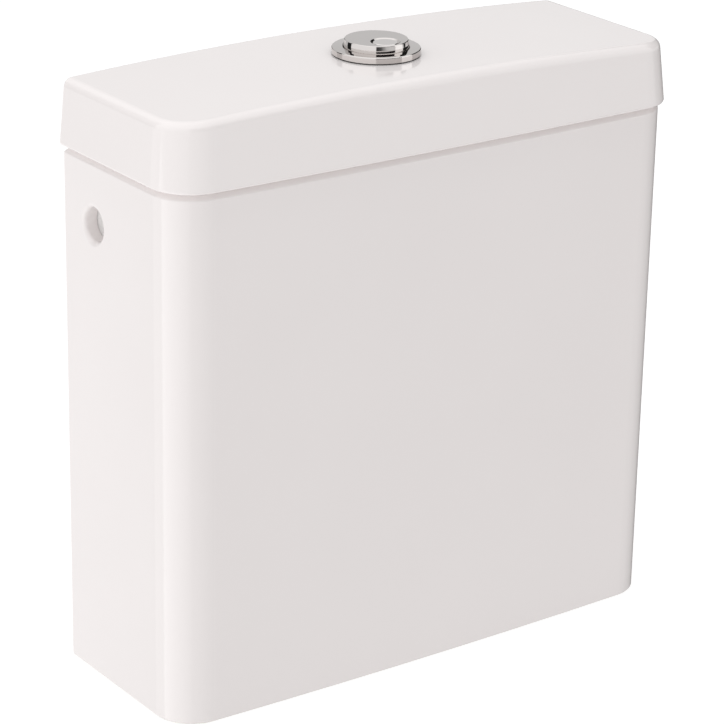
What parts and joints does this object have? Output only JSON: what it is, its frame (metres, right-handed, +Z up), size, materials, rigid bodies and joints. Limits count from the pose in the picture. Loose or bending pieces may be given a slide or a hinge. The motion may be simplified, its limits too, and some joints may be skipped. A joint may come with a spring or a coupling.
{
  "type": "toilet cistern",
  "caption": "Close-coupled toilet cistern: glazed china tank and lid, dual-flush push button, drop flush valve with overflow tube and side-entry fill valve.",
  "frame": {"origin": "On the axis of the flush outlet, in the plane of the tank's base rim.", "axes": "+X is the right-hand side seen from the front, +Y is the back (wall side), +Z is up."},
  "size_m": [0.4177, 0.1368, 0.4083],
  "materials": {
    "china": "glossy white vitreous glaze",
    "foam": "closed-cell expanded polystyrene, matte",
    "soft_pad": "translucent soft bumper",
    "chrome": "bright chrome plate",
    "gasket_rubber": "black moulded rubber",
    "seal_foam": "black closed-cell foam rubber",
    "white_plastic": "moulded, satin",
    "grey_plastic": "moulded, satin",
    "blue_plastic": "moulded, satin",
    "steel": "drawn stainless wire and rod",
    "brass": "machined"
  },
  "bodies": {
    "tank_body": {"tank": "china", "insulation_liner": "foam", "lid_pads": "soft_pad", "valve_basket": "white_plastic", "outlet_washer": "gasket_rubber", "outlet_backnut": "grey_plastic", "coupling_seal": "seal_foam", "valve_tower": "grey_plastic", "float_rail": "steel", "lift_lever_pin": "steel", "latch_lever_pin": "steel", "fill_shank": "brass", "inlet_strainer": "steel", "inner_washer": "gasket_rubber", "outer_washer": "white_plastic", "inlet_backnut": "grey_plastic", "fill_valve_body": "white_plastic", "fill_diaphragm": "gasket_rubber", "fill_valve_cap": "blue_plastic", "float_arm_pin": "steel", "silencer_tube": "white_plastic", "full_rod_spring": "steel", "half_rod_spring": "steel"},
    "lid_body": {"lid": "china", "ring_gasket": "gasket_rubber", "button_ring": "chrome", "button_housing": "white_plastic", "button_locknut": "grey_plastic", "full_button_spring": "steel"},
    "full_button": {"full_flush_button": "chrome", "half_button_spring": "steel"},
    "half_button": {"half_flush_button": "chrome"},
    "full_rod": {"full_flush_push_rod": "blue_plastic"},
    "half_rod": {"half_flush_push_rod": "blue_plastic", "overtravel_spring": "steel"},
    "flush_valve": {"overflow_tube": "white_plastic", "flush_seal": "gasket_rubber", "seal_clamp": "white_plastic", "seal_carrier": "white_plastic", "tube_float": "grey_plastic", "lift_yoke": "blue_plastic"},
    "lift_lever": {"lift_lever": "blue_plastic"},
    "half_latch": {"half_flush_latch": "blue_plastic"},
    "half_float": {"half_flush_float": "grey_plastic"},
    "float_arm": {"float_arm": "blue_plastic", "float_screw": "blue_plastic", "float_cup": "grey_plastic"}
  },
  "joints": [
    {"name": "lid_lift", "type": "slide", "parent": "tank_body", "child": "lid_body", "axis": [0, 0, 1], "range_m": [0, 0.12]},
    {"name": "full_flush_press", "type": "slide", "parent": "lid_body", "child": "full_button", "axis": [0, 0, -1], "range_m": [0, 0.0055], "stiffness_N_per_m": 500, "springref_m": -0.006, "deforming": ["full_button_spring", "overtravel_spring"]},
    {"name": "half_flush_press", "type": "slide", "parent": "full_button", "child": "half_button", "axis": [0, 0, -1], "range_m": [0, 0.0045], "stiffness_N_per_m": 300, "springref_m": -0.004, "deforming": ["half_button_spring"]},
    {"name": "full_rod_slide", "type": "slide", "parent": "tank_body", "child": "full_rod", "axis": [0, 0, -1], "range_m": [0, 0.0055], "deforming": ["full_rod_spring"]},
    {"name": "half_rod_slide", "type": "slide", "parent": "tank_body", "child": "half_rod", "axis": [0, 0, -1], "range_m": [0, 0.0045], "deforming": ["half_rod_spring"]},
    {"name": "lift_lever_turn", "type": "hinge", "parent": "tank_body", "child": "lift_lever", "pos_m": [-0.006, 0.009, 0.311], "axis": [0, 1, 0], "range_deg": [0, 22.67]},
    {"name": "half_latch_turn", "type": "hinge", "parent": "tank_body", "child": "half_latch", "pos_m": [0.014, -0.0096, 0.311], "axis": [0, -1, 0], "range_deg": [0, 18.51]},
    {"name": "flush_valve_lift", "type": "slide", "parent": "tank_body", "child": "flush_valve", "axis": [0, 0, 1], "range_m": [0, 0.011]},
    {"name": "half_float_slide", "type": "slide", "parent": "tank_body", "child": "half_float", "axis": [0, 0, -1], "range_m": [0, 0.09]},
    {"name": "float_arm_turn", "type": "hinge", "parent": "tank_body", "child": "float_arm", "pos_m": [0.1137, 0.035, 0.292], "axis": [0, -1, 0], "range_deg": [0, 12]}
  ],
  "couplings": [
    {"joint": "full_rod_slide", "follows": "full_flush_press", "ratio": 1},
    {"joint": "half_rod_slide", "follows": "half_flush_press", "ratio": 1},
    {"joint": "lift_lever_turn", "follows": "full_flush_press", "rad_per_m": 71.896},
    {"joint": "half_latch_turn", "follows": "half_flush_press", "rad_per_m": 71.74},
    {"joint": "flush_valve_lift", "follows": "full_flush_press", "ratio": 2}
  ]
}
